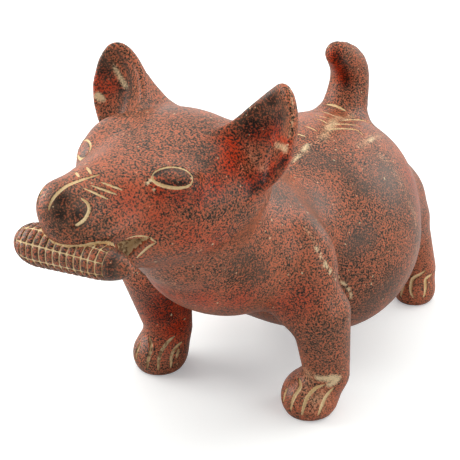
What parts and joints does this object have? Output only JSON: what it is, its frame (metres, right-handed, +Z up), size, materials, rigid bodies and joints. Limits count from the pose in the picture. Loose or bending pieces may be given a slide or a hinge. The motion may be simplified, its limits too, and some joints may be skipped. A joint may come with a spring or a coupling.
{
  "type": "pottery dog figure",
  "caption": "Standing fat-bellied pottery dog with pricked cupped ears, a short upright tail and an ear of maize held across its jaws, resting on flat-soled paws.",
  "frame": {"origin": "middle of the bounding box in plan, on the ground plane that the soles stand on", "axes": "+Z up, snout towards -Y, tail towards +Y, the dog's own left side towards +X"},
  "size_m": [0.117, 0.2516, 0.1669],
  "materials": {
    "clay": "burnished brick-red slip, smoke-darkened in bands, with pale clay in the incised lines"
  },
  "bodies": {
    "root": {"dog": "clay"}
  },
  "joints": []
}
